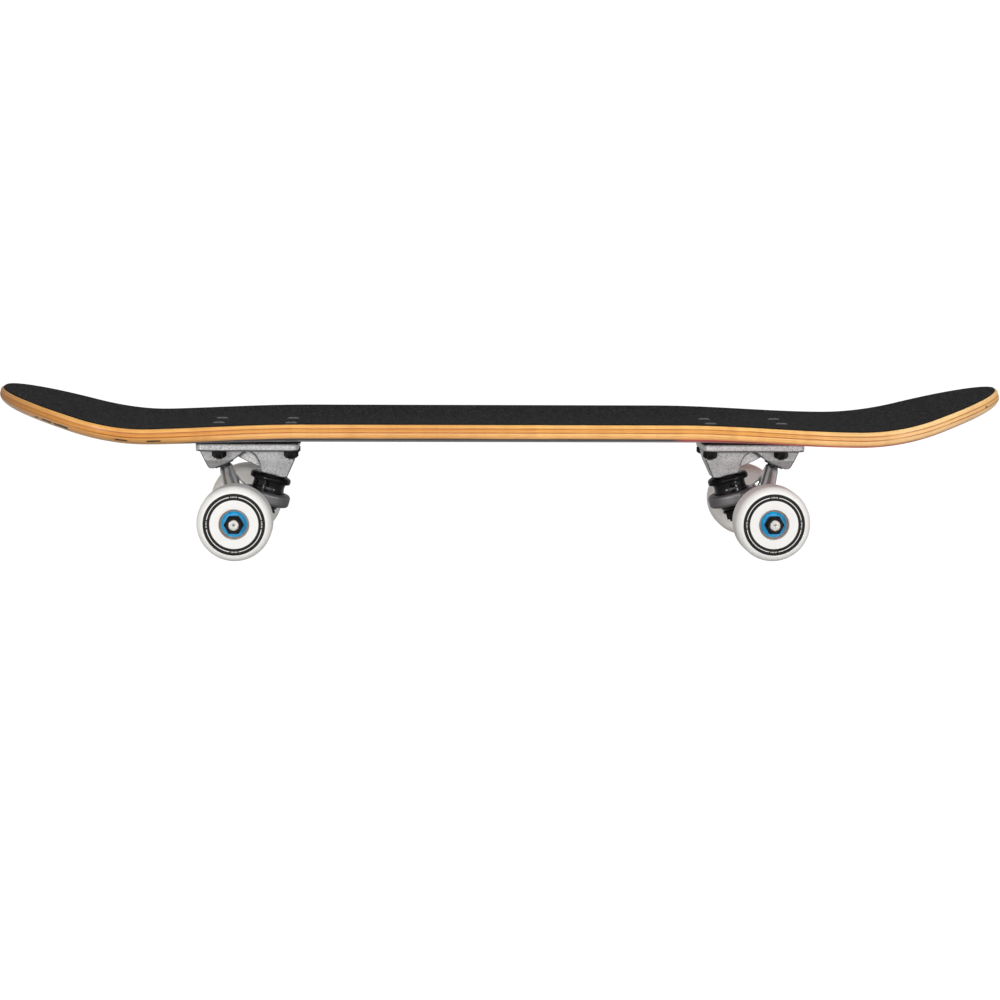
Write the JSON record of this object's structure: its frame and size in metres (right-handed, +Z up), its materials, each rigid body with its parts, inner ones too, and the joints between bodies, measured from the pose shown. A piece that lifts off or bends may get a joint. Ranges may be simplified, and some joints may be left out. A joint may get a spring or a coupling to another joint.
{
  "type": "skateboard",
  "caption": "Complete skateboard: concave maple deck with upturned ends, abrasive grip sheet, steering trucks with bushings, and urethane wheels on bearings.",
  "frame": {"origin": "on the ground under the middle of the bounding box", "axes": "+X towards the nose, +Y to the left of a rider facing the nose, +Z up"},
  "size_m": [0.7588, 0.195, 0.1226],
  "materials": {
    "maple": "satin lacquered face veneer",
    "cross_ply": "satin, stained cross veneer",
    "stained_ply": "satin, dark stained underside veneer",
    "grip": "coarse abrasive sheet",
    "riser": "matte",
    "cast_alloy": "tumbled casting",
    "polished_alloy": "polished casting",
    "steel": "zinc plated",
    "black_steel": "black oxide, semi-gloss",
    "urethane_black": "glossy",
    "cup_plastic": "moulded",
    "urethane_white": "smooth cast, printed rings",
    "shield_blue": "moulded"
  },
  "bodies": {
    "board": {"veneer_1": "stained_ply", "veneer_2": "maple", "veneer_3": "cross_ply", "veneer_4": "maple", "veneer_5": "cross_ply", "veneer_6": "maple", "veneer_7": "maple", "grip_tape": "grip", "tail_riser_pad": "riser", "tail_baseplate": "cast_alloy", "tail_pivot_cup": "cup_plastic", "tail_kingpin": "steel", "tail_kingpin_nut": "black_steel", "tail_top_washer": "black_steel", "tail_bottom_washer": "black_steel", "tail_top_bushing": "urethane_black", "tail_bottom_bushing": "urethane_black", "tail_mounting_bolts": "black_steel", "tail_mounting_nuts": "black_steel", "nose_riser_pad": "riser", "nose_baseplate": "cast_alloy", "nose_pivot_cup": "cup_plastic", "nose_kingpin": "steel", "nose_kingpin_nut": "black_steel", "nose_top_washer": "black_steel", "nose_bottom_washer": "black_steel", "nose_top_bushing": "urethane_black", "nose_bottom_bushing": "urethane_black", "nose_mounting_bolts": "black_steel", "nose_mounting_nuts": "black_steel"},
    "tail_hanger_body": {"tail_hanger": "polished_alloy", "tail_axle": "steel", "tail_axle_nuts": "black_steel", "tail_speed_washers": "steel", "tail_bearing_spacers": "steel", "tail_bearing_inner_races": "steel"},
    "nose_hanger_body": {"nose_hanger": "polished_alloy", "nose_axle": "steel", "nose_axle_nuts": "black_steel", "nose_speed_washers": "steel", "nose_bearing_spacers": "steel", "nose_bearing_inner_races": "steel"},
    "tail_right_wheel_body": {"tail_right_wheel": "urethane_white", "tail_right_outer_races": "steel", "tail_right_shields": "shield_blue"},
    "tail_right_ball_sets": {"tail_right_balls": "steel"},
    "tail_left_wheel_body": {"tail_left_wheel": "urethane_white", "tail_left_outer_races": "steel", "tail_left_shields": "shield_blue"},
    "tail_left_ball_sets": {"tail_left_balls": "steel"},
    "nose_right_wheel_body": {"nose_right_wheel": "urethane_white", "nose_right_outer_races": "steel", "nose_right_shields": "shield_blue"},
    "nose_right_ball_sets": {"nose_right_balls": "steel"},
    "nose_left_wheel_body": {"nose_left_wheel": "urethane_white", "nose_left_outer_races": "steel", "nose_left_shields": "shield_blue"},
    "nose_left_ball_sets": {"nose_left_balls": "steel"}
  },
  "joints": [
    {"name": "tail_steer", "type": "hinge", "parent": "board", "child": "tail_hanger_body", "pos_m": [-0.2138, 0, 0.0675], "axis": [0.7499, 0, -0.6615], "range_deg": [-12, 12], "stiffness_Nm_per_rad": 22, "deforming": ["tail_top_bushing", "tail_bottom_bushing"]},
    {"name": "nose_steer", "type": "hinge", "parent": "board", "child": "nose_hanger_body", "pos_m": [0.2097, 0, 0.0675], "axis": [-0.7499, 0, -0.6615], "range_deg": [-12, 12], "stiffness_Nm_per_rad": 22, "deforming": ["nose_top_bushing", "nose_bottom_bushing"]},
    {"name": "tail_right_spin", "type": "hinge", "parent": "tail_hanger_body", "child": "tail_right_wheel_body", "pos_m": [-0.1985, -0.0765, 0.0275], "axis": [0, 1, 0], "continuous": true},
    {"name": "tail_right_ball_roll", "type": "hinge", "parent": "tail_hanger_body", "child": "tail_right_ball_sets", "pos_m": [-0.1985, -0.0765, 0.0275], "axis": [0, 1, 0], "continuous": true},
    {"name": "tail_left_spin", "type": "hinge", "parent": "tail_hanger_body", "child": "tail_left_wheel_body", "pos_m": [-0.1985, 0.0765, 0.0275], "axis": [0, 1, 0], "continuous": true},
    {"name": "tail_left_ball_roll", "type": "hinge", "parent": "tail_hanger_body", "child": "tail_left_ball_sets", "pos_m": [-0.1985, 0.0765, 0.0275], "axis": [0, 1, 0], "continuous": true},
    {"name": "nose_right_spin", "type": "hinge", "parent": "nose_hanger_body", "child": "nose_right_wheel_body", "pos_m": [0.1944, -0.0765, 0.0275], "axis": [0, 1, 0], "continuous": true},
    {"name": "nose_right_ball_roll", "type": "hinge", "parent": "nose_hanger_body", "child": "nose_right_ball_sets", "pos_m": [0.1944, -0.0765, 0.0275], "axis": [0, 1, 0], "continuous": true},
    {"name": "nose_left_spin", "type": "hinge", "parent": "nose_hanger_body", "child": "nose_left_wheel_body", "pos_m": [0.1944, 0.0765, 0.0275], "axis": [0, 1, 0], "continuous": true},
    {"name": "nose_left_ball_roll", "type": "hinge", "parent": "nose_hanger_body", "child": "nose_left_ball_sets", "pos_m": [0.1944, 0.0765, 0.0275], "axis": [0, 1, 0], "continuous": true}
  ],
  "couplings": [
    {"joint": "tail_right_ball_roll", "follows": "tail_right_spin", "ratio": 0.6272},
    {"joint": "tail_left_ball_roll", "follows": "tail_left_spin", "ratio": 0.6272},
    {"joint": "nose_right_ball_roll", "follows": "nose_right_spin", "ratio": 0.6272},
    {"joint": "nose_left_ball_roll", "follows": "nose_left_spin", "ratio": 0.6272}
  ]
}
